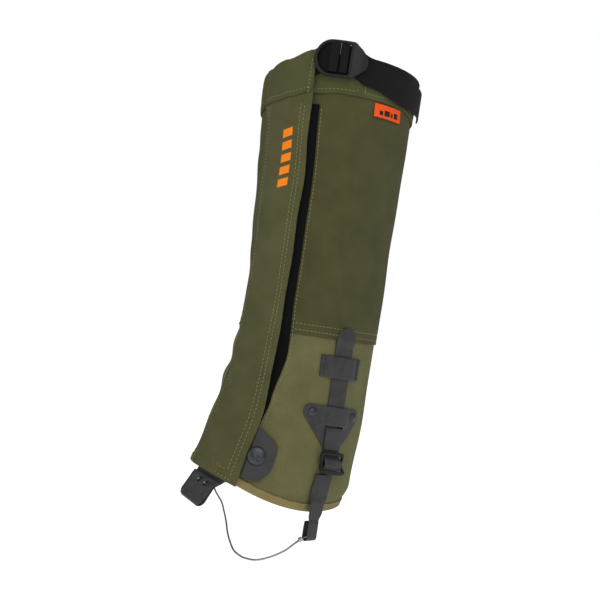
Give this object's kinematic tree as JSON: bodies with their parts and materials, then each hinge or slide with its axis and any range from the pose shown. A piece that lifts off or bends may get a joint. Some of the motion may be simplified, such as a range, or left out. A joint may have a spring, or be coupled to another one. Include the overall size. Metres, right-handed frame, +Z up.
{
  "type": "hunting gaiter",
  "caption": "Tall canvas lower-leg gaiter with a hook-and-loop front flap, snap tab, toe lace hook, buckled top cuff strap, side instep strap and under-boot cable.",
  "frame": {"origin": "middle of the boot opening at the level of the hem", "axes": "+Z up the leg, -Y towards the toe and the front flap, +X towards the outer side of the leg, where the instep strap is"},
  "size_m": [0.1481, 0.1915, 0.4674],
  "materials": {
    "canvas_olive": "coarse woven canvas, dark olive",
    "canvas_olive_light": "coarse woven canvas, olive",
    "flap_canvas": "coarse woven canvas, grey olive",
    "cuff_canvas": "woven canvas, dark olive",
    "hem_tape": "woven binding tape, khaki",
    "hook_loop": "hook-and-loop pile, black",
    "orange_label": "woven label, orange",
    "rubberised": "rubberised fabric, charcoal, matt",
    "webbing": "ribbed webbing, black",
    "black_plastic": "moulded acetal, black",
    "snap_metal": "snap and rivets, gunmetal lacquer",
    "steel": "stainless steel cable and hook"
  },
  "bodies": {
    "shell": {"upper_panel": "canvas_olive", "lower_panel": "canvas_olive_light", "top_cuff": "cuff_canvas", "hem_binding": "hem_tape", "loop_tape": "hook_loop", "label": "orange_label", "snap_stud": "snap_metal", "snap_post": "snap_metal", "instep_patch": "rubberised", "instep_rivet_front": "snap_metal", "instep_rivet_back": "snap_metal", "instep_burr_front": "snap_metal", "instep_burr_back": "snap_metal", "strap_keeper": "rubberised", "strap_over_patch": "rubberised", "tongue_loop": "rubberised", "medial_patch": "rubberised", "medial_rivet_front": "snap_metal", "medial_rivet_back": "snap_metal", "medial_burr_front": "snap_metal", "medial_burr_back": "snap_metal", "medial_loop": "rubberised", "fixed_webbing": "webbing", "strap_webbing": "webbing"},
    "flap": {"front_flap": "flap_canvas", "hook_tape": "hook_loop", "flap_cuff": "cuff_canvas", "snap_tab_base": "rubberised"},
    "snap": {"snap_tab": "rubberised", "snap_cap": "snap_metal", "snap_socket": "snap_metal"},
    "lace": {"lace_tab": "rubberised", "lace_hook": "steel"},
    "tail_strap": {"strap_tail": "rubberised"},
    "leg_strap": {"strap_leg": "rubberised"},
    "cable": {"cable": "steel", "ferrule_lateral": "steel", "ferrule_medial": "steel"},
    "slide_buckle": {"instep_buckle": "black_plastic", "strap_in_buckle": "rubberised"},
    "cuff_buckle": {"top_buckle": "black_plastic", "webbing_turn": "webbing"},
    "cuff_tail": {"webbing_tail": "webbing"}
  },
  "joints": [
    {"name": "flap_opens", "type": "hinge", "parent": "shell", "child": "flap", "pos_m": [-0.031, -0.068, 0], "axis": [0, -0.0649, -0.9979], "range_deg": [0, 80]},
    {"name": "snap_tab_lifts", "type": "hinge", "parent": "flap", "child": "snap", "pos_m": [0.03773, -0.089, 0.022], "axis": [0.0265, -0.2934, -0.9556], "range_deg": [0, 50]},
    {"name": "lace_tab_flexes", "type": "hinge", "parent": "flap", "child": "lace", "pos_m": [0.0137, -0.1012, 0.0195], "axis": [0.9617, 0.096, -0.2569], "range_deg": [-8, 9]},
    {"name": "strap_lets_out", "type": "slide", "parent": "shell", "child": "tail_strap", "axis": [0, 0, -1], "range_m": [0, 0.008]},
    {"name": "leg_follows", "type": "slide", "parent": "shell", "child": "leg_strap", "axis": [0, -0.3338, -0.9426], "range_m": [0, 0.0081]},
    {"name": "cable_follows", "type": "hinge", "parent": "leg_strap", "child": "cable", "pos_m": [0.0625, -0.018, -0.027], "axis": [0, 1, 0], "range_deg": [0, 3.45]},
    {"name": "slide_buckle_lifts", "type": "hinge", "parent": "shell", "child": "slide_buckle", "pos_m": [0.06594, -0.00714, 0.038], "axis": [0, 1, 0], "range_deg": [0, 8]},
    {"name": "cuff_buckle_tilts", "type": "hinge", "parent": "shell", "child": "cuff_buckle", "pos_m": [0.04827, -0.06096, 0.389], "axis": [0, 0, -1], "range_deg": [0, 5]},
    {"name": "cuff_strap_pulls", "type": "hinge", "parent": "shell", "child": "cuff_tail", "pos_m": [0, 0, 0.383], "axis": [0, 0, 1], "range_deg": [0, 15]}
  ],
  "couplings": [
    {"joint": "leg_follows", "follows": "strap_lets_out", "ratio": 1},
    {"joint": "cable_follows", "follows": "strap_lets_out", "rad_per_m": 7.3356}
  ]
}
